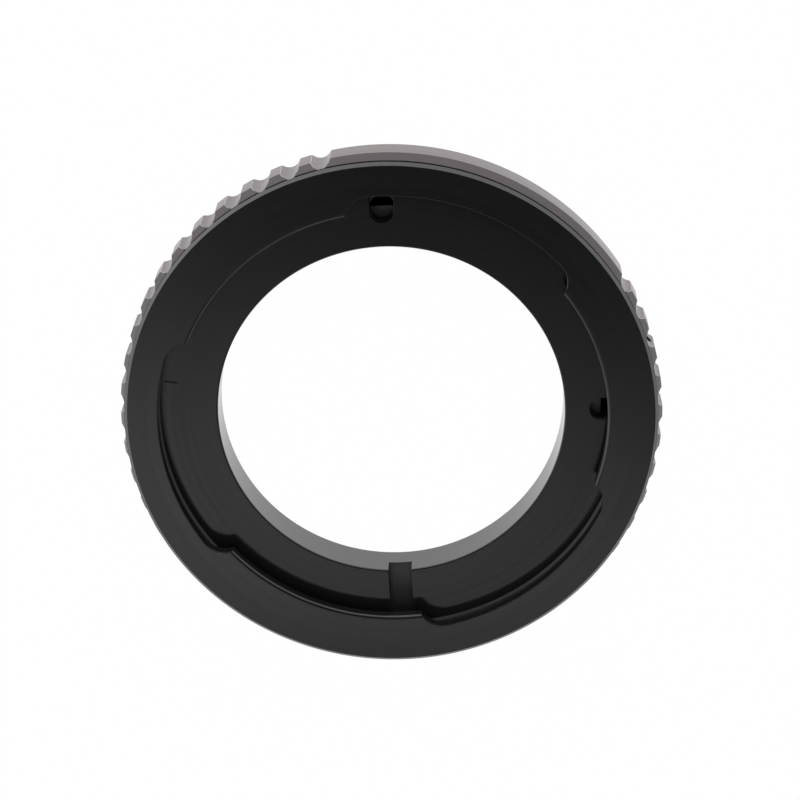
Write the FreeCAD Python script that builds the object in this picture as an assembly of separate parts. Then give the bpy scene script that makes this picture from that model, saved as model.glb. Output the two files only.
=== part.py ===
import FreeCAD, Part
import math
import os
from FreeCAD import Vector

# Lens mount adapter lying on its rear end, in millimetres.
# Z is the optical axis and the lens side faces up. The origin is the centre of the rear end.
# Angles run anticlockwise from +X, seen from the lens side.

# Heights, from the rear end to the front face
rear_overhang = 2.3            # the inner ring stands out behind the grip by this much
seat_length = 3.2              # rear of the grip to the ledge behind the tabs
ledge_depth = 2.75             # ledge to the front face
tab_thickness = 1.4

# Bayonet: a round throat with three tabs between three wider lobes
throat_radius = 25.45
throat_chamfer = 0.37          # turned on the tabs before the lobes are milled
lobe_depth = 2.0
lobe_count = 3
lobe_span = 63.6               # measured at the throat
lobe_first_angle = 70.1        # middle of the first lobe
lobe_cutter_radius = 3.0
lobe_edge_chamfer = 0.08

# Walls of the outer ring, from the lobes outwards
recess_clearance = 0.25        # lobes to the recess that the lens tabs turn in
seat_step = 0.93               # the recess is smaller than the seat, and the inner ring butts on this step
grip_wall = 3.37               # seat to the crest of the grip band
rim_setback = 0.6              # crest of the grip band in to the front rim
seat_chamfer = 0.2

# Front rim and the turned line behind it
rim_chamfer = 0.4
rim_land = 0.05
line_width = 0.5
line_depth = 0.4

# Grip band
band_bevel_depth = 0.6
band_bevel_length = 1.25
band_rear_chamfer = 0.2

# Scallops milled along the grip, with a plain stretch left for a name
scallop_pitches = 54           # pitches in a full turn
scallop_count = 44
scallop_first_angle = 104.6
scallop_cutter_radius = 1.3
scallop_depth = 0.67

# Inner ring
seat_clearance = 0.03
ledge_width = 4.92             # throat in to the bore
ledge_corner = 0.3             # cone left in the corner between the ledge and the recess
bore_front_chamfer = 0.3
bore_rear_chamfer = 0.2
spigot_step = 0.5              # seat of the inner ring in to the core of the rear thread
spigot_chamfer = 0.3
relief_width = 0.5             # groove where the rear thread runs out, against the grip
relief_depth = 0.2

# Slots milled in the ledge: two blind pockets and one channel that opens into the bore
slot_width = 2.8
slot_depth = 2.25
pocket_angles = (1.5, 92.5)
pocket_margin = 2.92           # bore out to the round end of a pocket
channel_angle = 272.9

# Scribed index mark on the ledge
mark_angle = 172.0
mark_margin = 4.97             # bore out to the mark
mark_length = 1.5
mark_width = 0.16
mark_depth = 0.15

# Grub screw through the grip, in one of the scallops
screw_scallop = 41             # place in the row of scallops, from the first
screw_drop = 1.0               # ledge down to the axis of the screw
screw_hole_radius = 1.0
screw_clearance = 0.03
screw_sink = 0.2               # bottom of the scallop in to the screw's head
screw_point_radius = 0.5
screw_point_length = 0.45
screw_point_gap = 0.02
socket_flats = 0.9
socket_depth = 1.0

# Worked out from the sizes above
overrun = 1.0                  # cutters run past the faces by this much
ledge_z = rear_overhang + seat_length
height = ledge_z + ledge_depth
lobe_radius = throat_radius + lobe_depth
recess_radius = lobe_radius + recess_clearance
seat_radius = recess_radius + seat_step
grip_radius = seat_radius + grip_wall
rim_radius = grip_radius - rim_setback
inner_ring_radius = seat_radius - seat_clearance
spigot_radius = inner_ring_radius - spigot_step
bore_radius = throat_radius - ledge_width
seat_top_z = ledge_z + ledge_corner
lobe_pitch_angle = 360.0 / lobe_count
pocket_end_radius = bore_radius + pocket_margin
mark_inner_radius = bore_radius + mark_margin
tab_back_z = height - tab_thickness
rim_back_z = height - rim_chamfer - rim_land
band_front_z = rim_back_z - line_width
scallop_pitch_angle = 360.0 / scallop_pitches
screw_angle = scallop_first_angle + screw_scallop * scallop_pitch_angle
screw_height = ledge_z - screw_drop
screw_tip = inner_ring_radius + screw_point_gap
screw_head = grip_radius - scallop_depth - screw_sink

z_axis = Vector(0, 0, 1)
centre = Vector(0, 0, 0)


def turned(profile):
    """Solid of revolution of a closed outline of radius and height pairs."""
    points = [Vector(radius, 0, z) for radius, z in profile]
    outline = Part.makePolygon(points + [points[0]])
    return Part.Face(outline).revolve(centre, z_axis, 360)


def turned_to(shape, angle):
    """The shape, turned about the optical axis."""
    shape.rotate(centre, z_axis, angle)
    return shape


def outer_ring_blank():
    return turned([
        (seat_radius + seat_chamfer, rear_overhang),
        (grip_radius - band_rear_chamfer, rear_overhang),
        (grip_radius, rear_overhang + band_rear_chamfer),
        (grip_radius, band_front_z - band_bevel_length),
        (grip_radius - band_bevel_depth, band_front_z),
        (rim_radius - line_depth, band_front_z),
        (rim_radius - line_depth, rim_back_z),
        (rim_radius, rim_back_z),
        (rim_radius, height - rim_chamfer),
        (rim_radius - rim_chamfer, height),
        (throat_radius + throat_chamfer, height),
        (throat_radius, height - throat_chamfer),
        (throat_radius, tab_back_z),
        (recess_radius, tab_back_z),
        (recess_radius, seat_top_z),
        (seat_radius, seat_top_z),
        (seat_radius, rear_overhang + seat_chamfer),
    ])


def lobe_end_angle():
    """Angle from the axis of the cutter, at the end of its path, to where its edge meets the throat."""
    path_radius = lobe_radius - lobe_cutter_radius
    squares = throat_radius ** 2 + path_radius ** 2 - lobe_cutter_radius ** 2
    return math.degrees(math.acos(squares / (2 * throat_radius * path_radius)))


def lobe_cutter(place):
    """One lobe through the flange, with ends rounded by the milling cutter."""
    centre_angle = lobe_first_angle + place * lobe_pitch_angle
    depth = tab_thickness + 2 * overrun
    base = Vector(0, 0, tab_back_z - overrun)
    sweep = lobe_span - 2 * lobe_end_angle()
    sector = Part.makeCylinder(lobe_radius, depth, base, z_axis, sweep)
    turned_to(sector, centre_angle - sweep / 2)
    end_base = base + Vector(lobe_radius - lobe_cutter_radius, 0, 0)
    ends = []
    for side in (-1, 1):
        end = Part.makeCylinder(lobe_cutter_radius, depth, end_base)
        ends.append(turned_to(end, centre_angle + side * sweep / 2))
    return sector.fuse(ends)


def scallop_cutter(place):
    axis_radius = grip_radius - scallop_depth + scallop_cutter_radius
    depth = height - rear_overhang + 2 * overrun
    base = Vector(axis_radius, 0, rear_overhang - overrun)
    cutter = Part.makeCylinder(scallop_cutter_radius, depth, base)
    return turned_to(cutter, scallop_first_angle + place * scallop_pitch_angle)


def radial_cylinder(radius, start, length):
    """A cylinder along the grub screw's own axis."""
    base = Vector(start, 0, screw_height)
    return turned_to(Part.makeCylinder(radius, length, base, Vector(1, 0, 0)), screw_angle)


def lobe_edges(shape):
    """Edges of the lobes where they meet the front face."""
    tab_edge = throat_radius + throat_chamfer
    found = []
    for edge in shape.Edges:
        box = edge.BoundBox
        on_front = abs(box.ZMin - height) < 1e-6 and abs(box.ZMax - height) < 1e-6
        middle = edge.valueAt((edge.FirstParameter + edge.LastParameter) / 2)
        reach = math.hypot(middle.x, middle.y)
        if on_front and tab_edge + 0.01 < reach < seat_radius:
            found.append(edge)
    return found


def outer_ring():
    ring = outer_ring_blank()
    ring = ring.cut([lobe_cutter(place) for place in range(lobe_count)])
    ring = ring.makeChamfer(lobe_edge_chamfer, lobe_edges(ring))
    ring = ring.cut([scallop_cutter(place) for place in range(scallop_count)])
    hole_length = grip_radius + overrun - inner_ring_radius
    return ring.cut(radial_cylinder(screw_hole_radius, inner_ring_radius, hole_length))


def inner_ring_blank():
    return turned([
        (bore_radius + bore_rear_chamfer, 0),
        (spigot_radius - spigot_chamfer, 0),
        (spigot_radius, spigot_chamfer),
        (spigot_radius, rear_overhang - relief_width),
        (spigot_radius - relief_depth, rear_overhang - relief_width),
        (spigot_radius - relief_depth, rear_overhang),
        (inner_ring_radius, rear_overhang),
        (inner_ring_radius, seat_top_z - seat_chamfer),
        (inner_ring_radius - seat_chamfer, seat_top_z),
        (recess_radius, seat_top_z),
        (recess_radius - ledge_corner, ledge_z),
        (bore_radius + bore_front_chamfer, ledge_z),
        (bore_radius, ledge_z - bore_front_chamfer),
        (bore_radius, bore_rear_chamfer),
    ])


def slot_cutter(start, angle):
    """A straight slot from a start radius out through the rim of the inner ring."""
    base = Vector(start, -slot_width / 2, ledge_z - slot_depth)
    length = seat_radius + overrun - start
    cutter = Part.makeBox(length, slot_width, slot_depth + overrun, base)
    return turned_to(cutter, angle)


def pocket_cutter(angle):
    """A slot whose inner end is round, as the end mill leaves it."""
    end_centre = pocket_end_radius + slot_width / 2
    base = Vector(end_centre, 0, ledge_z - slot_depth)
    end = Part.makeCylinder(slot_width / 2, slot_depth + overrun, base)
    return slot_cutter(end_centre, angle).fuse(turned_to(end, angle))


def index_mark_cutter():
    base = Vector(mark_inner_radius, -mark_width / 2, ledge_z - mark_depth)
    cutter = Part.makeBox(mark_length, mark_width, mark_depth + overrun, base)
    return turned_to(cutter, mark_angle)


def inner_ring():
    cutters = [pocket_cutter(angle) for angle in pocket_angles]
    cutters.append(slot_cutter(bore_radius - overrun, channel_angle))
    cutters.append(index_mark_cutter())
    return inner_ring_blank().cut(cutters)


def hexagon_prism(flats, start, length):
    corner = flats / math.sqrt(3)
    points = []
    for place in range(7):
        turn = math.radians(60 * place)
        points.append(Vector(start, corner * math.sin(turn), screw_height + corner * math.cos(turn)))
    prism = Part.Face(Part.makePolygon(points)).extrude(Vector(length, 0, 0))
    return turned_to(prism, screw_angle)


def grub_screw():
    """Socket set screw with a cone point that bears on the inner ring."""
    radius = screw_hole_radius - screw_clearance
    base = Vector(screw_tip, 0, screw_height)
    point = Part.makeCone(screw_point_radius, radius, screw_point_length, base, Vector(1, 0, 0))
    turned_to(point, screw_angle)
    body_start = screw_tip + screw_point_length
    body = radial_cylinder(radius, body_start, screw_head - body_start)
    socket = hexagon_prism(socket_flats, screw_head - socket_depth, socket_depth + overrun)
    return point.fuse(body).removeSplitter().cut(socket)


os.makedirs("parts", exist_ok=True)
outer_ring().exportStep("parts/outer_ring.step")
inner_ring().exportStep("parts/inner_ring.step")
grub_screw().exportStep("parts/grub_screw.step")
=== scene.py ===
import math

import bpy
from mathutils import Matrix, Vector


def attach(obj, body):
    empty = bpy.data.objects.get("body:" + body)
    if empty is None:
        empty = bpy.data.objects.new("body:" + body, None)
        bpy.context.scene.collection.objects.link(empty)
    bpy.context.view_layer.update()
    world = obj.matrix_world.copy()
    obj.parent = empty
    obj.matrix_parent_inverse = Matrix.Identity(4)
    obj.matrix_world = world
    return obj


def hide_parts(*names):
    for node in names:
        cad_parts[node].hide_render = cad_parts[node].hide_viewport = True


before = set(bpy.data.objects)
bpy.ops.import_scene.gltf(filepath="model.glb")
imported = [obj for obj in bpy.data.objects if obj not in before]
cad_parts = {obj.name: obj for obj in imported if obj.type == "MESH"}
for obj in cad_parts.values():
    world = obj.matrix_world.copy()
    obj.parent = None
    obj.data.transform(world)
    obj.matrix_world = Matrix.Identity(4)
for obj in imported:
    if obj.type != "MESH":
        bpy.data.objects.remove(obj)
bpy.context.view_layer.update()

print("frame loaded:", sorted(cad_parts))

overrun = 1           # cutters run past the faces by this much, in millimetres
hair = 0.01           # play with which edges and faces are picked by their place
mergeGap = 0.0005     # points nearer than this become one
slitSides = 12        # open slits of up to this many edges are filled
smoothAngle = 14      # edges over which the surface turns by more stay sharp, in degrees
cutterSteps = 64      # round a milling cutter or a drill


# Selection and clean-up helpers

def clearSelection():
    if bpy.context.object and bpy.context.object.mode != "OBJECT":
        bpy.ops.object.mode_set(mode="OBJECT")
    bpy.ops.object.select_all(action="DESELECT")


def selectOnly(piece):
    clearSelection()
    piece.select_set(True)
    bpy.context.view_layer.objects.active = piece


def editPiece(piece):
    selectOnly(piece)
    bpy.ops.object.mode_set(mode="EDIT")
    bpy.ops.mesh.select_mode(type="EDGE")


def sealPiece(piece):
    # merges what meets, closes slits and turns all faces outwards
    editPiece(piece)
    bpy.ops.mesh.select_all(action="SELECT")
    bpy.ops.mesh.remove_doubles(threshold=mergeGap)
    bpy.ops.mesh.fill_holes(sides=slitSides)
    bpy.ops.mesh.normals_make_consistent(inside=False)
    bpy.ops.object.mode_set(mode="OBJECT")
    if sum(face.area * face.center.dot(face.normal) for face in piece.data.polygons) < 0:
        editPiece(piece)
        bpy.ops.mesh.select_all(action="SELECT")
        bpy.ops.mesh.flip_normals()
        bpy.ops.object.mode_set(mode="OBJECT")


def turnPiece(name, profile, steps):
    # a circle drawn out loop by loop along the profile of radius and height pairs, in millimetres
    clearSelection()
    radius, height = profile[0]
    bpy.ops.mesh.primitive_circle_add(vertices=steps, radius=radius, location=(0, 0, height))
    piece = bpy.context.object
    piece.name = piece.data.name = name
    bpy.ops.object.transform_apply(location=True, rotation=True, scale=True)
    bpy.ops.object.mode_set(mode="EDIT")
    bpy.ops.mesh.select_mode(type="EDGE")
    bpy.ops.mesh.select_all(action="SELECT")
    for nextRadius, nextHeight in profile[1:] + profile[:1]:
        bpy.ops.mesh.extrude_edges_move(
            TRANSFORM_OT_translate={"value": (0, 0, nextHeight - height)})
        grow = nextRadius / radius
        bpy.ops.transform.resize(value=(grow, grow, 1), center_override=(0, 0, nextHeight))
        radius, height = nextRadius, nextHeight
    sealPiece(piece)
    return piece


def roundEdges(piece, sharpness, width, segments, slot, picked=None):
    # breaks the edges sharper than the angle, or those of them that the test picks by their two
    # ends; the new faces take the material in that slot
    editPiece(piece)
    bpy.ops.mesh.select_all(action="DESELECT")
    bpy.ops.mesh.edges_select_sharp(sharpness=math.radians(sharpness))
    if picked:
        bpy.ops.object.mode_set(mode="OBJECT")
        points = piece.data.vertices
        chosen = [edge for edge in piece.data.edges
                  if edge.select and picked(*[points[end].co for end in edge.vertices])]
        for item in (*piece.data.polygons, *piece.data.edges, *points):
            item.select = False
        for edge in chosen:
            edge.select = True
        bpy.ops.object.mode_set(mode="EDIT")
    bpy.ops.mesh.bevel(offset=width, segments=segments, affect="EDGES", clamp_overlap=False,
                       material=slot)
    bpy.ops.object.mode_set(mode="OBJECT")


def joinPieces(pieces):
    clearSelection()
    for piece in pieces:
        piece.select_set(True)
    bpy.context.view_layer.objects.active = pieces[0]
    bpy.ops.object.join()
    return bpy.context.object


def cutWith(piece, cutter):
    selectOnly(piece)
    cut = piece.modifiers.new("cut", "BOOLEAN")
    cut.operation = "DIFFERENCE"
    cut.solver = "EXACT"
    cut.object = cutter
    bpy.ops.object.modifier_apply(modifier=cut.name)
    bpy.data.objects.remove(cutter)


def turnAbout(piece, angle):
    selectOnly(piece)
    piece.rotation_euler = (0, 0, math.radians(angle))
    bpy.ops.object.transform_apply(location=False, rotation=True, scale=False)
    return piece


def rodCutter(name, radius, depth, location, turn, lying=False):
    # upright, or lying along the radius, and then turned about the optical axis
    clearSelection()
    bpy.ops.mesh.primitive_cylinder_add(vertices=cutterSteps, radius=radius, depth=depth,
                                        location=location)
    cutter = bpy.context.object
    cutter.name = name
    if lying:
        cutter.rotation_euler = (0, math.pi / 2, 0)
    bpy.ops.object.transform_apply(location=True, rotation=True, scale=True)
    return turnAbout(cutter, turn)


def boxCutter(name, size, location, turn):
    clearSelection()
    bpy.ops.mesh.primitive_cube_add(size=1, location=location)
    cutter = bpy.context.object
    cutter.name = name
    cutter.scale = size
    bpy.ops.object.transform_apply(location=True, rotation=True, scale=True)
    return turnAbout(cutter, turn)


def giveFinishes(piece, finishes):
    # all faces have the first finish until they are given another by its slot
    for finish in finishes.values():
        piece.data.materials.append(finish)
    return {name: slot for slot, name in enumerate(finishes)}


def finishFaces(piece, slot, picked):
    # puts the finish in that slot on the faces that the test picks by their middle and normal
    for face in piece.data.polygons:
        if face.material_index == 0 and picked(face.center, face.normal):
            face.material_index = slot


def finishPiece(piece):
    # millimetres become metres; smooth but for sharp edges and the borders between finishes
    selectOnly(piece)
    piece.scale = (0.001, 0.001, 0.001)
    bpy.ops.object.transform_apply(location=True, rotation=True, scale=True)
    bpy.ops.object.shade_smooth_by_angle(angle=math.radians(smoothAngle))
    editPiece(piece)
    for slot in range(len(piece.material_slots)):
        bpy.ops.mesh.select_mode(type="FACE")
        bpy.ops.mesh.select_all(action="DESELECT")
        piece.active_material_index = slot
        bpy.ops.object.material_slot_select()
        bpy.ops.mesh.region_to_loop()
        bpy.ops.mesh.mark_sharp()
    bpy.ops.object.mode_set(mode="OBJECT")
    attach(piece, "root")
    return piece


# Effects that several finishes use

def newGroup(name, inputs, outputs):
    group = bpy.data.node_groups.new(name, "ShaderNodeTree")
    for label, kind, value in inputs:
        socket = group.interface.new_socket(name=label, in_out="INPUT", socket_type=kind)
        if value is not None:
            socket.default_value = value
    for label, kind in outputs:
        group.interface.new_socket(name=label, in_out="OUTPUT", socket_type=kind)
    return group, group.nodes.new("NodeGroupInput"), group.nodes.new("NodeGroupOutput")


def mathNode(tree, operation, first, second=None):
    node = tree.nodes.new("ShaderNodeMath")
    node.operation = operation
    for place, value in enumerate((first, second)):
        if isinstance(value, bpy.types.NodeSocket):
            tree.links.new(value, node.inputs[place])
        elif value is not None:
            node.inputs[place].default_value = value
    return node.outputs[0]


def makeTurnedGroup():
    # lathe marks: a pattern of radius and height alone, so it rings the faces and the walls
    group, source, result = newGroup(
        "turnedMarks",
        [("Vector", "NodeSocketVector", None), ("Pitch", "NodeSocketFloat", 9000.0)],
        [("Height", "NodeSocketFloat"), ("Shade", "NodeSocketFloat")])
    split = group.nodes.new("ShaderNodeSeparateXYZ")
    group.links.new(source.outputs["Vector"], split.inputs[0])
    across = mathNode(group, "MULTIPLY", split.outputs[0], split.outputs[0])
    along = mathNode(group, "MULTIPLY", split.outputs[1], split.outputs[1])
    radius = mathNode(group, "SQRT", mathNode(group, "ADD", across, along))
    joined = group.nodes.new("ShaderNodeCombineXYZ")
    group.links.new(radius, joined.inputs[0])
    group.links.new(split.outputs[2], joined.inputs[1])
    fine = group.nodes.new("ShaderNodeTexNoise")
    fine.noise_dimensions = "2D"
    fine.inputs["Detail"].default_value = 3
    group.links.new(joined.outputs[0], fine.inputs["Vector"])
    group.links.new(source.outputs["Pitch"], fine.inputs["Scale"])
    broad = group.nodes.new("ShaderNodeTexNoise")
    broad.noise_dimensions = "2D"
    broad.inputs["Scale"].default_value = 900
    group.links.new(joined.outputs[0], broad.inputs["Vector"])
    group.links.new(fine.outputs[0], result.inputs["Height"])
    group.links.new(broad.outputs[0], result.inputs["Shade"])
    return group


def makeGrainGroup():
    # the etched grain under the anodising, with slow changes of tone
    group, source, result = newGroup(
        "etchedGrain",
        [("Vector", "NodeSocketVector", None), ("Size", "NodeSocketFloat", 14000.0)],
        [("Height", "NodeSocketFloat"), ("Tone", "NodeSocketFloat")])
    fine = group.nodes.new("ShaderNodeTexNoise")
    fine.inputs["Detail"].default_value = 4
    fine.inputs["Roughness"].default_value = 0.65
    group.links.new(source.outputs["Vector"], fine.inputs["Vector"])
    group.links.new(source.outputs["Size"], fine.inputs["Scale"])
    broad = group.nodes.new("ShaderNodeTexNoise")
    broad.inputs["Scale"].default_value = 90
    broad.inputs["Detail"].default_value = 2
    group.links.new(source.outputs["Vector"], broad.inputs["Vector"])
    group.links.new(fine.outputs[0], result.inputs["Height"])
    group.links.new(broad.outputs[0], result.inputs["Tone"])
    return group


def makeDustGroup():
    # a few pale specks, one in some cells of a fine lattice
    group, source, result = newGroup(
        "dustSpecks",
        [("Vector", "NodeSocketVector", None), ("Cells", "NodeSocketFloat", 420.0),
         ("Share", "NodeSocketFloat", 0.12), ("Speck", "NodeSocketFloat", 0.035)],
        [("Mask", "NodeSocketFloat")])
    cells = group.nodes.new("ShaderNodeTexVoronoi")
    group.links.new(source.outputs["Vector"], cells.inputs["Vector"])
    group.links.new(source.outputs["Cells"], cells.inputs["Scale"])
    split = group.nodes.new("ShaderNodeSeparateColor")
    group.links.new(cells.outputs["Color"], split.inputs[0])
    chosen = mathNode(group, "LESS_THAN", split.outputs[0], source.outputs["Share"])
    reach = mathNode(group, "MULTIPLY", split.outputs[1], source.outputs["Speck"])
    near = mathNode(group, "LESS_THAN", cells.outputs["Distance"], reach)
    group.links.new(mathNode(group, "MULTIPLY", chosen, near), result.inputs["Mask"])
    return group


turnedMarks = makeTurnedGroup()
etchedGrain = makeGrainGroup()
dustSpecks = makeDustGroup()
print("effects built")


def placeGroup(tree, group, vector, **values):
    node = tree.nodes.new("ShaderNodeGroup")
    node.node_tree = group
    tree.links.new(vector, node.inputs["Vector"])
    for label, value in values.items():
        node.inputs[label].default_value = value
    return node


def mixColours(tree, mask, first, second):
    mix = tree.nodes.new("ShaderNodeMix")
    mix.data_type = "RGBA"
    tree.links.new(mask, mix.inputs[0])
    for place, value in ((6, first), (7, second)):
        if isinstance(value, bpy.types.NodeSocket):
            tree.links.new(value, mix.inputs[place])
        else:
            mix.inputs[place].default_value = (*value, 1)
    return mix.outputs[2]


def mapRange(tree, value, low, high, newLow, newHigh):
    node = tree.nodes.new("ShaderNodeMapRange")
    tree.links.new(value, node.inputs["Value"])
    limits = {"From Min": low, "From Max": high, "To Min": newLow, "To Max": newHigh}
    for label, number in limits.items():
        node.inputs[label].default_value = number
    return node.outputs[0]


def newFinish(name):
    material = bpy.data.materials.new(name)
    material.use_nodes = True
    tree = material.node_tree
    place = tree.nodes.new("ShaderNodeTexCoord").outputs["Object"]
    return material, tree, tree.nodes["Principled BSDF"], place


def addBump(tree, shader, height, look):
    bump = tree.nodes.new("ShaderNodeBump")
    bump.inputs["Strength"].default_value = look["bump"]
    bump.inputs["Distance"].default_value = look["bumpDistance"]
    tree.links.new(height, bump.inputs["Height"])
    tree.links.new(bump.outputs[0], shader.inputs["Normal"])


def anodised(name, look):
    # dyed oxide over aluminium: a dark dielectric skin with lathe marks and an etched grain
    material, tree, shader, place = newFinish(name)
    turned = placeGroup(tree, turnedMarks, place, Pitch=look["markPitch"])
    grain = placeGroup(tree, etchedGrain, place, Size=look["grainSize"])
    dust = placeGroup(tree, dustSpecks, place)
    tone = mixColours(tree, grain.outputs["Tone"], look["dark"], look["light"])
    streaks = mapRange(tree, turned.outputs["Shade"], *look["streakLimits"],
                       0.0, look["streakMost"])
    shade = mixColours(tree, streaks, tone, look["streak"])
    tree.links.new(mixColours(tree, dust.outputs["Mask"], shade, look["dustColour"]),
                   shader.inputs["Base Color"])
    rough = mapRange(tree, turned.outputs["Shade"], *look["roughLimits"],
                     look["smoothest"], look["roughest"])
    tree.links.new(mathNode(tree, "MAXIMUM", rough, dust.outputs["Mask"]),
                   shader.inputs["Roughness"])
    height = mathNode(tree, "ADD",
                      mathNode(tree, "MULTIPLY", turned.outputs["Height"], look["markDepth"]),
                      mathNode(tree, "MULTIPLY", grain.outputs["Height"], look["grainDepth"]))
    height = mathNode(tree, "ADD", height,
                      mathNode(tree, "MULTIPLY", dust.outputs["Mask"], look["dustHeight"]))
    addBump(tree, shader, height, look)
    shader.inputs["IOR"].default_value = look["ior"]
    return material


anodisedLook = {
    "dark": (0.0075, 0.0075, 0.0078),
    "light": (0.0115, 0.0113, 0.0115),
    "streak": (0.010, 0.0098, 0.010),
    "streakLimits": (0.35, 0.65),
    "streakMost": 0.5,
    "dustColour": (0.22, 0.21, 0.20),
    "dustHeight": 2.0,
    "markPitch": 9000.0,
    "markDepth": 0.5,
    "grainSize": 14000.0,
    "grainDepth": 0.6,
    "bump": 0.2,
    "bumpDistance": 0.00002,
    "roughLimits": (0.3, 0.7),
    "smoothest": 0.14,
    "roughest": 0.18,
    "ior": 1.85,
}
gripTones = {"dark": (0.070, 0.042, 0.047), "light": (0.088, 0.054, 0.060),
             "streak": (0.078, 0.048, 0.053)}
# pale tone for the broken edges of the scallops: wear on the edges, and a painted highlight along
# them
wornAndHighlightTones = {"dark": (0.30, 0.27, 0.27), "light": (0.42, 0.38, 0.38),
             "streak": (0.35, 0.32, 0.32)}
# lighter tone for the front rim chamfer than for the face: a painted highlight along the edge
rimPaintedHighlightTones = {"dark": (0.026, 0.025, 0.025), "light": (0.036, 0.035, 0.035),
            "streak": (0.030, 0.029, 0.029)}
bevelTones = {"dark": (0.078, 0.066, 0.069), "light": (0.098, 0.084, 0.088),
              "streak": (0.088, 0.075, 0.078)}
# lighter tone for the milled floors of the pockets and the channel: painted light that lifts their
# shade
milledTones = {"dark": (0.04, 0.038, 0.038), "light": (0.055, 0.052, 0.052),
               "streak": (0.048, 0.045, 0.045)}


def anodisedLike(name, smoothest, roughest, **changes):
    look = dict(anodisedLook, smoothest=smoothest, roughest=roughest)
    return anodised(name, dict(look, **changes))


ringFinish = anodised("blackAnodised", anodisedLook)
innerFinish = anodisedLike("blackAnodisedInner", 0.17, 0.21)
edgeFinish = anodisedLike("anodisedEdge", 0.26, 0.32)
gripFinish = anodisedLike("anodisedGrip", 0.2, 0.26, **gripTones)
wornAndHighlightFinish = anodisedLike("wornEdgeAndHighlight", 0.25, 0.35, **wornAndHighlightTones)
rimPaintedHighlightFinish = anodisedLike("anodisedRimPaintedHighlight", 0.2, 0.26, **rimPaintedHighlightTones)
bevelFinish = anodisedLike("anodisedBevel", 0.28, 0.34, ior=1.4, **bevelTones)
boreFinish = anodisedLike("anodisedBore", 0.10, 0.12)
cornerFinish = anodisedLike("anodisedCorner", 0.26, 0.32, ior=1.45)
milledFinish = anodisedLike("anodisedMilledPaintedLight", 0.3, 0.4, **milledTones)

oxideLook = {
    "dark": (0.02, 0.02, 0.022), "light": (0.07, 0.068, 0.066), "grainSize": 22000.0,
    "roughLimits": (0.3, 0.7), "smoothest": 0.28, "roughest": 0.45, "metallic": 0.85,
    "bump": 0.3, "bumpDistance": 0.00001,
}


def blackOxide(name, look):
    material, tree, shader, place = newFinish(name)
    grain = placeGroup(tree, etchedGrain, place, Size=look["grainSize"]).outputs["Height"]
    tree.links.new(mixColours(tree, grain, look["dark"], look["light"]),
                   shader.inputs["Base Color"])
    tree.links.new(mapRange(tree, grain, *look["roughLimits"], look["smoothest"], look["roughest"]),
                   shader.inputs["Roughness"])
    shader.inputs["Metallic"].default_value = look["metallic"]
    addBump(tree, shader, grain, look)
    return material


screwFinish = blackOxide("blackOxideSteel", oxideLook)
print("finishes built")


# Outer ring: face, bayonet, rim, turned line and scalloped grip. Sizes in millimetres.

outerSizes = {
    "front": 8.25, "rear": 2.3, "gripRadius": 32.0, "rimRadius": 31.4,
    "rimChamfer": 0.4, "rimLand": 0.05, "lineWidth": 0.5, "lineDepth": 0.4,
    "bandBevelDepth": 0.6, "bandBevelLength": 1.25, "bandRearChamfer": 0.2,
    "throatRadius": 25.45, "throatRound": 0.37, "lobeRadius": 27.45, "lobeSpan": 63.6,
    "lobeFirst": 70.1, "lobeCount": 3, "lobeCutter": 3.0, "lobeEdge": 0.08,
    "tabThickness": 1.4, "recessRadius": 27.7, "seatTop": 5.8, "seatRadius": 28.63,
    "seatChamfer": 0.2, "scallopPitches": 54, "scallopCount": 44, "scallopFirst": 104.6,
    "scallopCutter": 1.3, "scallopDepth": 0.67, "scallopLength": 9,
    "screwPlace": 41, "screwHeight": 4.5, "screwHoleRadius": 1.0,
    "screwHoleMiddle": 31.1, "screwHoleLength": 5,
    "turnedRound": 0.05, "cutRound": 0.05, "roundParts": 3, "lobeParts": 4, "throatParts": 8,
    "turnedSharp": 20, "cutSharp": 45, "steps": 360, "lobeSteps": 1080,
}


def roundedCorner(wall, top, radius, parts):
    # profile points from a top face over a round edge and down the wall of a hole
    turns = [math.pi / 2 * place / parts for place in range(parts + 1)]
    return [(wall + radius * (1 - math.sin(turn)), top - radius * (1 - math.cos(turn)))
            for turn in turns]


def outerProfile(s):
    tabBack = s["front"] - s["tabThickness"]
    rimBack = s["front"] - s["rimChamfer"] - s["rimLand"]
    bandFront = rimBack - s["lineWidth"]
    lineRadius = s["rimRadius"] - s["lineDepth"]
    return [
        (s["seatRadius"] + s["seatChamfer"], s["rear"]),
        (s["gripRadius"] - s["bandRearChamfer"], s["rear"]),
        (s["gripRadius"], s["rear"] + s["bandRearChamfer"]),
        (s["gripRadius"], bandFront - s["bandBevelLength"]),
        (s["gripRadius"] - s["bandBevelDepth"], bandFront),
        (lineRadius, bandFront),
        (lineRadius, rimBack),
        (s["rimRadius"], rimBack),
        (s["rimRadius"], s["front"] - s["rimChamfer"]),
        (s["rimRadius"] - s["rimChamfer"], s["front"]),
        *roundedCorner(s["throatRadius"], s["front"], s["throatRound"], s["throatParts"]),
        (s["throatRadius"], tabBack),
        (s["recessRadius"], tabBack),
        (s["recessRadius"], s["seatTop"]),
        (s["seatRadius"], s["seatTop"]),
        (s["seatRadius"], s["rear"] + s["seatChamfer"]),
    ]


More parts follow.
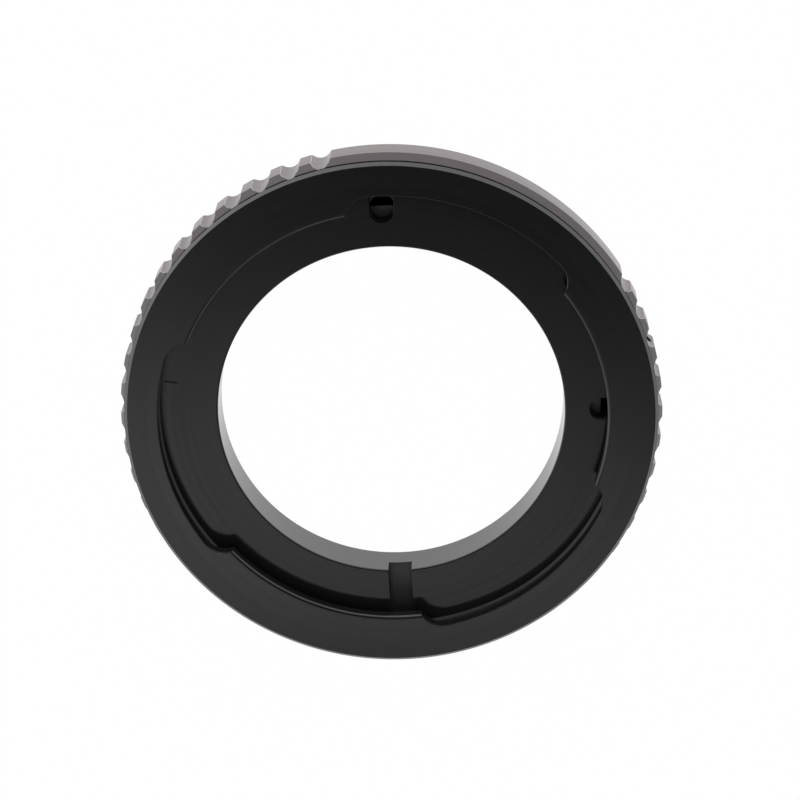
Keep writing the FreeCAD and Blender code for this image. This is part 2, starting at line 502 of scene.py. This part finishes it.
def throatAt(s, angle):
    # inside the throat on the tabs; widened in each lobe along the round path of the milling cutter
    inside = s["throatRadius"] - overrun
    path = s["lobeRadius"] - s["lobeCutter"]
    squares = s["throatRadius"] ** 2 + path ** 2 - s["lobeCutter"] ** 2
    end = math.degrees(math.acos(squares / (2 * s["throatRadius"] * path)))
    pitch = 360 / s["lobeCount"]
    off = abs((angle - s["lobeFirst"] + pitch / 2) % pitch - pitch / 2)
    past = off - (s["lobeSpan"] / 2 - end)
    if past <= 0:
        return s["lobeRadius"]
    side = path * math.sin(math.radians(past))
    if side >= s["lobeCutter"]:
        return inside
    out = math.sqrt(s["lobeCutter"] ** 2 - side ** 2)
    return max(inside, path * math.cos(math.radians(past)) + out)


def bayonetCutter(s):
    # a disc whose rim follows the lobes and stays inside the tabs, drawn out through the flange
    low = s["front"] - s["tabThickness"] - overrun
    clearSelection()
    bpy.ops.mesh.primitive_circle_add(vertices=s["lobeSteps"], radius=s["throatRadius"],
                                      fill_type="NGON", location=(0, 0, low))
    cutter = bpy.context.object
    cutter.name = "bayonet_cutter"
    bpy.ops.object.transform_apply(location=True, rotation=True, scale=True)
    for vertex in cutter.data.vertices:
        angle = math.degrees(math.atan2(vertex.co.y, vertex.co.x))
        grow = throatAt(s, angle) / math.hypot(vertex.co.x, vertex.co.y)
        vertex.co.x *= grow
        vertex.co.y *= grow
    bpy.ops.object.mode_set(mode="EDIT")
    bpy.ops.mesh.select_all(action="SELECT")
    bpy.ops.mesh.extrude_region_move(
        TRANSFORM_OT_translate={"value": (0, 0, s["tabThickness"] + 2 * overrun)})
    bpy.ops.object.mode_set(mode="OBJECT")
    sealPiece(cutter)
    return cutter


def reach(point):
    return math.hypot(point.x, point.y)


outerFinishes = {"ring": ringFinish, "edge": edgeFinish, "grip": gripFinish,
                 "wornAndHighlight": wornAndHighlightFinish, "rim": rimPaintedHighlightFinish, "bevel": bevelFinish}


def makeOuterRing(s):
    ring = turnPiece("outer_ring_look", outerProfile(s), s["steps"])
    slots = giveFinishes(ring, outerFinishes)
    roundEdges(ring, s["turnedSharp"], s["turnedRound"], s["roundParts"], slots["edge"])
    tabEdge = s["throatRadius"] + s["throatRound"]
    finishFaces(ring, slots["edge"],
                lambda middle, normal: 0.01 < normal.z < 0.999 and reach(middle) < tabEdge)

    cutWith(ring, bayonetCutter(s))
    sealPiece(ring)
    onFront = s["front"] - 0.001
    roundEdges(ring, s["cutSharp"], s["lobeEdge"], s["lobeParts"], slots["edge"],
               lambda a, b: min(a.z, b.z) > onFront and min(reach(a), reach(b)) > tabEdge + hair)
    roundEdges(ring, s["cutSharp"], s["cutRound"], s["roundParts"], slots["edge"],
               lambda a, b: reach(a) < s["recessRadius"] + hair)
    print("bayonet cut:", len(ring.data.polygons), "faces")

    pitch = 360 / s["scallopPitches"]
    middle = (s["front"] + s["rear"]) / 2
    axis = s["gripRadius"] - s["scallopDepth"] + s["scallopCutter"]
    rods = [rodCutter("scallop_cutter", s["scallopCutter"], s["scallopLength"], (axis, 0, middle),
                      s["scallopFirst"] + place * pitch)
            for place in range(s["scallopCount"])]
    cutWith(ring, joinPieces(rods))
    sealPiece(ring)
    # the broken scallop edges take the pale worn tone, which also paints a highlight along them
    roundEdges(ring, s["cutSharp"], s["cutRound"], s["roundParts"], slots["wornAndHighlight"],
               lambda a, b: reach(a) > s["seatRadius"] + 1)
    hole = rodCutter("screw_hole", s["screwHoleRadius"], s["screwHoleLength"],
                     (s["screwHoleMiddle"], 0, s["screwHeight"]),
                     s["scallopFirst"] + s["screwPlace"] * pitch, lying=True)
    cutWith(ring, hole)
    sealPiece(ring)
    rimBottom = s["front"] - s["rimChamfer"] + 2 * hair
    finishFaces(ring, slots["bevel"],
                lambda middle, normal: middle.z < rimBottom and 0.1 < normal.z < 0.9
                and reach(middle) > s["gripRadius"] - s["bandBevelDepth"] - hair)
    finishFaces(ring, slots["grip"],
                lambda middle, normal: -0.9 < normal.z < 0.1
                and reach(middle) > s["rimRadius"] - s["lineDepth"] - hair)
    # the rim chamfer gets the lighter tone, a painted highlight
    finishFaces(ring, slots["rim"],
                lambda middle, normal: middle.z > rimBottom and 0.1 < normal.z < 0.99
                and reach(middle) > s["rimRadius"] - s["rimChamfer"] - 2 * hair)
    for vertex in ring.data.vertices:     # the broken edges stay between the two faces
        vertex.co.z = min(max(vertex.co.z, s["rear"]), s["front"])
    return ring


outerRing = finishPiece(makeOuterRing(outerSizes))
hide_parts("outer_ring")
print("outer ring:", len(outerRing.data.polygons), "faces")


# Inner ring: ledge, pockets, channel, index mark, bore and rear spigot

innerSizes = {
    "ledge": 5.5, "bore": 20.53, "boreFrontRound": 0.2, "boreRearChamfer": 0.2,
    "recess": 27.7, "ledgeCorner": 0.3,
    "outside": 28.6, "spigot": 28.1, "spigotChamfer": 0.3, "shoulder": 2.3,
    "reliefWidth": 0.5, "reliefDepth": 0.2,
    "frontChamfer": 0.2, "slotWidth": 2.8, "slotDepth": 2.25, "pocketAngles": (1.5, 92.5),
    "pocketEnd": 23.45, "channelAngle": 272.9,
    "markAngle": 172.0, "markStart": 25.5, "markLength": 1.5, "markWidth": 0.16, "markDepth": 0.15,
    "turnedRound": 0.05, "turnedSharp": 20, "turnedParts": 3, "boreParts": 8,
    "cutRound": 0.03, "cutSharp": 45, "cutParts": 2, "steps": 360,
}


def innerProfile(s):
    seatTop = s["ledge"] + s["ledgeCorner"]
    return [
        (s["bore"] + s["boreRearChamfer"], 0),
        (s["spigot"] - s["spigotChamfer"], 0),
        (s["spigot"], s["spigotChamfer"]),
        (s["spigot"], s["shoulder"] - s["reliefWidth"]),
        (s["spigot"] - s["reliefDepth"], s["shoulder"] - s["reliefWidth"]),
        (s["spigot"] - s["reliefDepth"], s["shoulder"]),
        (s["outside"], s["shoulder"]),
        (s["outside"], seatTop - s["frontChamfer"]),
        (s["outside"] - s["frontChamfer"], seatTop),
        (s["recess"], seatTop),
        (s["recess"] - s["ledgeCorner"], s["ledge"]),
        *roundedCorner(s["bore"], s["ledge"], s["boreFrontRound"], s["boreParts"]),
        (s["bore"], s["boreRearChamfer"]),
    ]


innerFinishes = {"inner": innerFinish, "edge": edgeFinish, "bore": boreFinish,
                 "milled": milledFinish, "corner": cornerFinish}


def makeInnerRing(s):
    ring = turnPiece("inner_ring_look", innerProfile(s), s["steps"])
    slots = giveFinishes(ring, innerFinishes)
    roundEdges(ring, s["turnedSharp"], s["turnedRound"], s["turnedParts"], slots["edge"])
    boreEdge = s["bore"] + s["boreFrontRound"]
    finishFaces(ring, slots["edge"],
                lambda middle, normal: 0.01 < normal.z < 0.999 and reach(middle) < boreEdge)

    depth = s["slotDepth"] + overrun
    middle = s["ledge"] - s["slotDepth"] + depth / 2
    end = s["outside"] + overrun
    for angle in s["pocketAngles"]:
        start = s["pocketEnd"] + s["slotWidth"] / 2
        cutWith(ring, boxCutter("pocket", (end - start, s["slotWidth"], depth),
                                ((end + start) / 2, 0, middle), angle))
        cutWith(ring, rodCutter("pocket_end", s["slotWidth"] / 2, depth, (start, 0, middle), angle))
    start = s["bore"] - overrun
    cutWith(ring, boxCutter("channel", (end - start, s["slotWidth"], depth),
                            ((end + start) / 2, 0, middle), s["channelAngle"]))
    markMiddle = s["markStart"] + s["markLength"] / 2
    cutWith(ring, boxCutter("mark", (s["markLength"], s["markWidth"], 2 * s["markDepth"]),
                            (markMiddle, 0, s["ledge"]), s["markAngle"]))
    sealPiece(ring)
    roundEdges(ring, s["cutSharp"], s["cutRound"], s["cutParts"], slots["edge"])
    slotFloor = s["ledge"] - s["slotDepth"]
    finishFaces(ring, slots["corner"],
                lambda middle, normal: middle.z > s["ledge"] + 2 * hair and 0.1 < normal.z < 0.9)
    finishFaces(ring, slots["bore"], lambda middle, normal: reach(middle) < s["bore"] + 2 * hair)
    # the floors of the pockets and the channel get the lighter tone, painted light in their shade
    finishFaces(ring, slots["milled"],
                lambda middle, normal: normal.z > -0.5
                and slotFloor - 2 * hair < middle.z < s["ledge"] - 4 * hair
                and s["bore"] + 10 * hair < reach(middle) < s["outside"] - 2 * hair)
    return ring


innerRing = finishPiece(makeInnerRing(innerSizes))
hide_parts("inner_ring")
print("inner ring:", len(innerRing.data.polygons), "faces")


# Rear thread: a fine 60 degree ridge wound round the spigot

threadSizes = {
    "core": 28.1, "root": 0.06, "crest": 28.5, "lean": -0.05, "pitch": 0.75, "footShare": 0.42,
    "first": 0.5, "turns": 1.6, "steps": 240, "fade": 14,
}


def makeRearThread(s):
    clearSelection()
    bpy.ops.mesh.primitive_circle_add(vertices=3, radius=s["pitch"], location=(0, 0, 0))
    thread = bpy.context.object
    thread.name = thread.data.name = "rear_thread"
    foot = s["core"] - s["root"]
    half = s["pitch"] * s["footShare"]
    spots = [(foot, -half), (s["crest"], s["lean"]), (foot, half)]
    for vertex, (radius, height) in zip(thread.data.vertices, spots):
        vertex.co = (radius, 0, s["first"] + height)
    wind = thread.modifiers.new("wind", "SCREW")
    wind.angle = math.radians(360 * s["turns"])
    wind.screw_offset = s["pitch"] * s["turns"]
    wind.steps = wind.render_steps = round(s["steps"] * s["turns"])
    bpy.ops.object.modifier_apply(modifier=wind.name)
    editPiece(thread)
    bpy.ops.mesh.select_all(action="SELECT")
    bpy.ops.mesh.fill_holes(sides=3)
    bpy.ops.object.mode_set(mode="OBJECT")
    # the ridge runs out into the core at both ends
    last = len(thread.data.vertices) // 3 - 1
    for place, vertex in enumerate(thread.data.vertices):
        near = min(place // 3, last - place // 3)
        if near < s["fade"]:
            radius = reach(vertex.co)
            sunk = foot + (radius - foot) * (near + 1) / (s["fade"] + 1)
            vertex.co.x *= sunk / radius
            vertex.co.y *= sunk / radius
    thread.data.materials.append(innerFinish)
    sealPiece(thread)
    return thread


rearThread = finishPiece(makeRearThread(threadSizes))

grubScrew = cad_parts["grub_screw"]
grubScrew.data.materials.clear()
grubScrew.data.materials.append(screwFinish)
print("rear thread and grub screw done")


# Floor, light and camera

stageLook = {
    "floorSize": 3.0, "floorHeight": -0.0001, "floorColour": 0.86, "floorRough": 0.9,
    "white": 0.995, "horizon": 1.85, "horizonLow": 0.15, "horizonHigh": 0.64,
    "horizonBehind": 0.35, "behindLimits": (-0.7, 0.3),
    "horizonLeft": 0.88, "horizonRight": 0.62, "sideLimits": (-0.8, 0.8),
    "panel": 0.636, "panelFrom": 0.326, "panelFull": 0.412, "panelSkew": 0.237,
    "panelFade": 0.43, "panelEnd": 0.48,
}


def whiteFloor(look):
    bpy.ops.mesh.primitive_plane_add(size=look["floorSize"], location=(0, 0, look["floorHeight"]))
    floor = bpy.context.object
    floor.name = "floor"
    material = bpy.data.materials.new("paleFloor")
    material.use_nodes = True
    tree = material.node_tree
    shader = tree.nodes["Principled BSDF"]
    shader.inputs["Base Color"].default_value = (*[look["floorColour"]] * 3, 1)
    shader.inputs["Roughness"].default_value = look["floorRough"]
    paths = tree.nodes.new("ShaderNodeLightPath")
    seen = mathNode(tree, "MAXIMUM", paths.outputs["Is Camera Ray"],
                    paths.outputs["Is Glossy Ray"])
    seen = mathNode(tree, "MAXIMUM", seen, paths.outputs["Is Transmission Ray"])
    glow = tree.nodes.new("ShaderNodeEmission")
    glow.inputs["Strength"].default_value = 1.0
    blend = tree.nodes.new("ShaderNodeMixShader")
    tree.links.new(mathNode(tree, "MULTIPLY", seen, look["white"]), blend.inputs[0])
    tree.links.new(shader.outputs[0], blend.inputs[1])
    tree.links.new(glow.outputs[0], blend.inputs[2])
    # from below the floor can be seen through
    below = tree.nodes.new("ShaderNodeMixShader")
    tree.links.new(tree.nodes.new("ShaderNodeNewGeometry").outputs["Backfacing"], below.inputs[0])
    tree.links.new(blend.outputs[0], below.inputs[1])
    tree.links.new(tree.nodes.new("ShaderNodeBsdfTransparent").outputs[0], below.inputs[2])
    tree.links.new(below.outputs[0], tree.nodes["Material Output"].inputs["Surface"])
    floor.data.materials.append(material)


def tentWorld(look):
    # a light tent: bright low down, most of all at the top of the picture, with one panel overhead
    world = bpy.data.worlds.new("lightTent")
    bpy.context.scene.world = world
    world.use_nodes = True
    tree = world.node_tree
    background = tree.nodes["Background"]
    background.inputs["Color"].default_value = (1, 1, 1, 1)
    place = tree.nodes.new("ShaderNodeTexCoord").outputs["Generated"]
    split = tree.nodes.new("ShaderNodeSeparateXYZ")
    tree.links.new(place, split.inputs[0])
    across, along, upward = split.outputs
    low = mapRange(tree, upward, look["horizonLow"], look["horizonHigh"], look["horizon"], 0)
    behind = mapRange(tree, along, *look["behindLimits"], look["horizonBehind"], 1)
    sides = mapRange(tree, across, *look["sideLimits"], look["horizonLeft"], look["horizonRight"])
    low = mathNode(tree, "MULTIPLY", mathNode(tree, "MULTIPLY", low, behind), sides)
    toPanel = mathNode(tree, "MULTIPLY", along, -1.0)
    skewed = mathNode(tree, "SUBTRACT", toPanel,
                      mathNode(tree, "MULTIPLY", across, look["panelSkew"]))
    panel = mapRange(tree, skewed, look["panelFrom"], look["panelFull"], 0, look["panel"])
    panel = mathNode(tree, "MULTIPLY", panel,
                     mapRange(tree, toPanel, look["panelFade"], look["panelEnd"], 1, 0))
    # the tent lights the object, but the camera sees plain white
    level = mathNode(tree, "ADD", low, panel)
    paths = tree.nodes.new("ShaderNodeLightPath")
    seen = mathNode(tree, "MULTIPLY", mathNode(tree, "SUBTRACT", 1.0, level),
                    paths.outputs["Is Camera Ray"])
    tree.links.new(mathNode(tree, "ADD", level, seen), background.inputs["Strength"])


lampLooks = {
    "softbox_top": {"place": (-0.05, 0.9, 0.2), "size": (0.7, 0.3), "power": 5.0},
    "softbox_above": {"place": (0, 0, 0.9), "size": (0.5, 0.5), "power": 2.0},
}


def softBox(name, look):
    # turned to the object, and not seen in reflections
    lamp = bpy.data.lights.new(name, "AREA")
    lamp.shape = "RECTANGLE"
    lamp.size, lamp.size_y = look["size"]
    lamp.energy = look["power"]
    box = bpy.data.objects.new(name, lamp)
    bpy.context.scene.collection.objects.link(box)
    box.location = look["place"]
    aim = Vector((0, 0, 0)) - Vector(look["place"])
    box.rotation_euler = aim.to_track_quat("-Z", "Y").to_euler()
    box.visible_glossy = False


whiteFloor(stageLook)
tentWorld(stageLook)
for name, look in lampLooks.items():
    softBox(name, look)
print("floor and lights set")

cameraLook = {
    "location": (0.00722, 0.1121, 0.29165),
    "right": (0.99977, 0.0, -0.02159),
    "up": (-0.00778, 0.9329, -0.3601),
    "back": (0.02014, 0.3602, 0.9327),
    "lens": 116.85, "sensor": 36, "near": 0.01, "far": 20,
}


def makeCamera(look):
    view = bpy.data.cameras.new("camera")
    view.sensor_width = look["sensor"]
    view.lens = look["lens"]
    view.clip_start = look["near"]
    view.clip_end = look["far"]
    camera = bpy.data.objects.new("camera", view)
    bpy.context.scene.collection.objects.link(camera)
    turn = Matrix((look["right"], look["up"], look["back"])).transposed().to_4x4()
    camera.matrix_world = Matrix.Translation(Vector(look["location"])) @ turn
    bpy.context.scene.camera = camera


makeCamera(cameraLook)
bpy.context.scene.view_settings.view_transform = "Standard"
print("camera set")
